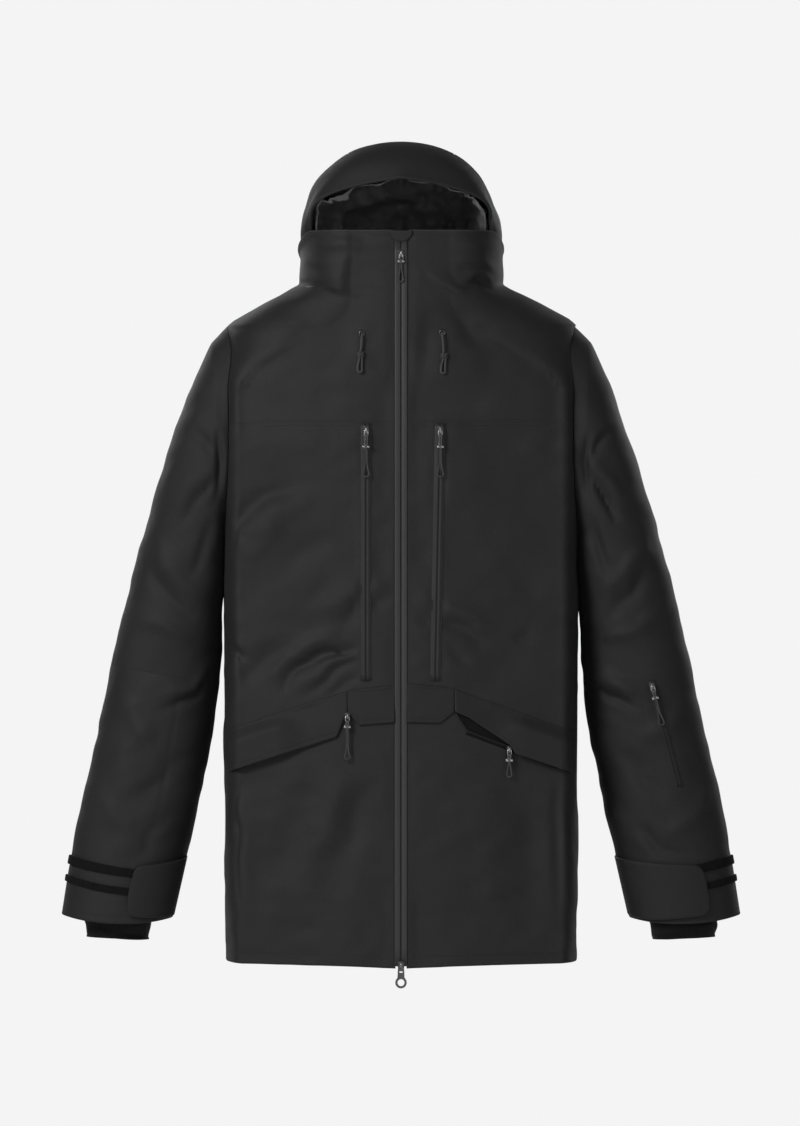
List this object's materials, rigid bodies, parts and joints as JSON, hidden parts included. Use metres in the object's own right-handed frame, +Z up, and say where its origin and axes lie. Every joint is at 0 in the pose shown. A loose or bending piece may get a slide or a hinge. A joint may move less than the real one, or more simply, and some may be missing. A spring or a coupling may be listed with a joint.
{
  "type": "ski jacket",
  "caption": "Hooded, insulated ski jacket with a two-way main zip, chest, hand and sleeve pockets, cuff tabs and a back-neck hang loop, shown hanging and closed.",
  "frame": {"origin": "middle of the underside of the hang loop's top bar, inside the back of the neck, where a peg bears", "axes": "+X to the wearer's left, +Y to the back, +Z up; the front with the zip faces -Y"},
  "size_m": [0.818, 0.2697, 1.015],
  "materials": {
    "shell": "matt woven black face fabric",
    "lining": "slightly shiny crumpled black taffeta",
    "trim": "matt black webbing, knit and hook-and-loop",
    "tape": "smooth coated water-repellent zip tape",
    "cord": "braided black cord",
    "metal": "satin black lacquered zinc"
  },
  "bodies": {
    "jacket": {"back_panel": "shell", "back_yoke": "shell", "body_lining": "lining", "chest_zip_left": "tape", "chest_zip_right": "tape", "collar": "shell", "drawcord_eyelet_left": "metal", "drawcord_eyelet_right": "metal", "drawcord_left": "cord", "drawcord_loop_left": "cord", "drawcord_loop_right": "cord", "drawcord_right": "cord", "front_panel_left": "shell", "front_panel_right": "shell", "front_yoke_left": "shell", "front_yoke_right": "shell", "hand_zip_left": "tape", "hand_zip_right": "tape", "hang_loop": "trim", "main_zip_left": "tape", "main_zip_right": "tape", "pocket_tab_left": "shell", "pocket_tab_right": "shell", "powder_skirt": "lining", "zip_garage": "shell"},
    "hood": {"hood_brim": "shell", "hood_centre": "shell", "hood_lining": "lining", "hood_side_left": "shell", "hood_side_right": "shell"},
    "chest_zip_left_pull": {"chest_zip_left_pull": "metal"},
    "chest_zip_left_slider": {"chest_zip_left_slider": "metal"},
    "chest_zip_right_pull": {"chest_zip_right_pull": "metal"},
    "chest_zip_right_slider": {"chest_zip_right_slider": "metal"},
    "forearm_left": {"cuff_strip_lower_left": "trim", "cuff_strip_upper_left": "trim", "forearm_left": "shell", "inner_cuff_left": "trim", "sleeve_zip": "tape"},
    "forearm_right": {"cuff_strip_lower_right": "trim", "cuff_strip_upper_right": "trim", "forearm_right": "shell", "inner_cuff_right": "trim"},
    "cuff_tab_left": {"cuff_tab_left": "shell"},
    "cuff_tab_right": {"cuff_tab_right": "shell"},
    "flap_left": {"flap_left": "shell"},
    "flap_right": {"flap_right": "shell"},
    "hand_zip_left_pull": {"hand_zip_left_pull": "metal"},
    "hand_zip_left_slider": {"hand_zip_left_slider": "metal"},
    "hand_zip_right_pull": {"hand_zip_right_pull": "metal"},
    "hand_zip_right_slider": {"hand_zip_right_slider": "metal"},
    "main_zip_bottom_pull": {"main_zip_bottom_pull": "metal"},
    "main_zip_bottom_slider": {"main_zip_bottom_slider": "metal"},
    "main_zip_top_pull": {"main_zip_top_pull": "metal"},
    "main_zip_top_slider": {"main_zip_top_slider": "metal"},
    "sleeve_left": {"sleeve_left": "shell"},
    "sleeve_right": {"sleeve_right": "shell"},
    "sleeve_zip_pull": {"sleeve_zip_pull": "metal"},
    "sleeve_zip_slider": {"sleeve_zip_slider": "metal"}
  },
  "joints": [
    {"name": "hood_fold", "type": "hinge", "parent": "jacket", "child": "hood", "pos_m": [0, 0.022, 0.0148], "axis": [-1, 0, 0], "range_deg": [0, 100]},
    {"name": "shoulder_right", "type": "hinge", "parent": "jacket", "child": "sleeve_right", "pos_m": [-0.2055, -0.0775, -0.0395], "axis": [0, 1, 0], "range_deg": [0, 70]},
    {"name": "elbow_right", "type": "hinge", "parent": "sleeve_right", "child": "forearm_right", "pos_m": [-0.28425, -0.1465, -0.4625], "axis": [-0.985, 0, 0.1723], "range_deg": [0, 75]},
    {"name": "cuff_tab_right_peel", "type": "hinge", "parent": "forearm_right", "child": "cuff_tab_right", "pos_m": [-0.26274, -0.08527, -0.7187], "axis": [0.2228, -0.002, 0.9749], "range_deg": [0, 75]},
    {"name": "flap_right_lift", "type": "hinge", "parent": "jacket", "child": "flap_right", "pos_m": [-0.199, -0.18681, -0.5234], "axis": [-0.9418, 0.132, -0.3093], "range_deg": [0, 140]},
    {"name": "shoulder_left", "type": "hinge", "parent": "jacket", "child": "sleeve_left", "pos_m": [0.2055, -0.0775, -0.0395], "axis": [0, -1, 0], "range_deg": [0, 70]},
    {"name": "elbow_left", "type": "hinge", "parent": "sleeve_left", "child": "forearm_left", "pos_m": [0.28425, -0.1465, -0.4625], "axis": [-0.985, 0, -0.1723], "range_deg": [0, 75]},
    {"name": "cuff_tab_left_peel", "type": "hinge", "parent": "forearm_left", "child": "cuff_tab_left", "pos_m": [0.26274, -0.08527, -0.7187], "axis": [0.2228, 0.002, -0.9749], "range_deg": [0, 75]},
    {"name": "flap_left_lift", "type": "hinge", "parent": "jacket", "child": "flap_left", "pos_m": [0.199, -0.18684, -0.5244], "axis": [-0.9369, -0.1308, 0.3243], "range_deg": [0, 140]},
    {"name": "main_zip_top_slide", "type": "slide", "parent": "jacket", "child": "main_zip_top_slider", "axis": [0, 0.03, 0.9996], "range_m": [-0.5, 0]},
    {"name": "main_zip_bottom_slide", "type": "slide", "parent": "jacket", "child": "main_zip_bottom_slider", "axis": [0, 0.03, 0.9996], "range_m": [0, 0.25]},
    {"name": "chest_zip_right_slide", "type": "slide", "parent": "jacket", "child": "chest_zip_right_slider", "axis": [0, 0.03, 0.9996], "range_m": [-0.288, 0]},
    {"name": "chest_zip_left_slide", "type": "slide", "parent": "jacket", "child": "chest_zip_left_slider", "axis": [0.0195, 0.03, 0.9994], "range_m": [-0.288, 0]},
    {"name": "hand_zip_right_slide", "type": "slide", "parent": "jacket", "child": "hand_zip_right_slider", "axis": [-0.9442, 0.1326, -0.3016], "range_m": [0, 0.123]},
    {"name": "hand_zip_left_slide", "type": "slide", "parent": "jacket", "child": "hand_zip_left_slider", "axis": [0.9317, 0.1296, -0.3393], "range_m": [-0.068, 0.055]},
    {"name": "sleeve_zip_slide", "type": "slide", "parent": "forearm_left", "child": "sleeve_zip_slider", "axis": [0.2583, 0.0494, -0.9648], "range_m": [0, 0.108]},
    {"name": "main_zip_top_pull_swing", "type": "hinge", "parent": "main_zip_top_slider", "child": "main_zip_top_pull", "pos_m": [0, -0.18378, 0.042], "axis": [-1, 0, 0], "range_deg": [0, 150]},
    {"name": "main_zip_bottom_pull_swing", "type": "hinge", "parent": "main_zip_bottom_slider", "child": "main_zip_bottom_pull", "pos_m": [0, -0.2093, -0.8085], "axis": [-1, 0, 0], "range_deg": [0, 150]},
    {"name": "chest_zip_right_pull_swing", "type": "hinge", "parent": "chest_zip_right_slider", "child": "chest_zip_right_pull", "pos_m": [-0.0417, -0.19321, -0.169], "axis": [-1, 0, 0], "range_deg": [0, 150]},
    {"name": "chest_zip_left_pull_swing", "type": "hinge", "parent": "chest_zip_left_slider", "child": "chest_zip_left_pull", "pos_m": [0.04702, -0.19321, -0.169], "axis": [-1, 0, 0], "range_deg": [0, 150]},
    {"name": "hand_zip_right_pull_swing", "type": "hinge", "parent": "hand_zip_right_slider", "child": "hand_zip_right_pull", "pos_m": [-0.06418, -0.20314, -0.51084], "axis": [-1, 0, 0], "range_deg": [0, 90]},
    {"name": "hand_zip_left_pull_swing", "type": "hinge", "parent": "hand_zip_left_slider", "child": "hand_zip_left_pull", "pos_m": [0.12959, -0.19456, -0.55183], "axis": [-1, 0, 0], "range_deg": [0, 90]},
    {"name": "sleeve_zip_pull_swing", "type": "hinge", "parent": "sleeve_zip_slider", "child": "sleeve_zip_pull", "pos_m": [0.3015, -0.15038, -0.4755], "axis": [-0.9703, 0, -0.2419], "range_deg": [0, 150]}
  ]
}
